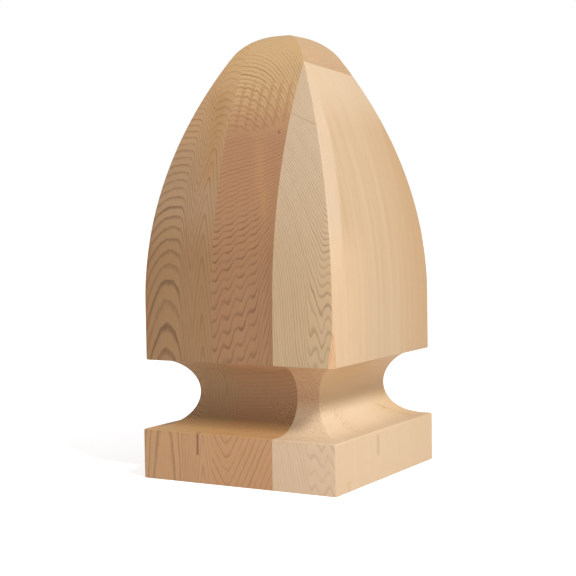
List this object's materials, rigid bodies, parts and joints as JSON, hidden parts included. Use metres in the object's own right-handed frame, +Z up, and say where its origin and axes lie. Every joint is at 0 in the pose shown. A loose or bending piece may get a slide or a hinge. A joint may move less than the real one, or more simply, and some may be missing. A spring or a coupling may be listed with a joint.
{
  "type": "gothic post finial",
  "caption": "Gothic wooden post finial with a square plinth, a mitred cove neck and a four-sided pointed head, glued up from boards.",
  "frame": {"origin": "middle of the plinth's underside, where it sits on a post", "axes": "+Z up the finial's axis to its point; +X square to the right face, on the side of the pale board; -Y is the front"},
  "size_m": [0.14, 0.14, 0.284],
  "materials": {
    "brown_cedar": "bare sanded wood, mid brown, flat-sawn",
    "pink_cedar": "bare sanded wood, pinkish brown, slanting growth rings",
    "pale_cedar": "bare sanded wood, pale, quarter-sawn on its broad side"
  },
  "bodies": {
    "root": {"left_board": "brown_cedar", "middle_board": "pink_cedar", "right_board": "pale_cedar"}
  },
  "joints": []
}
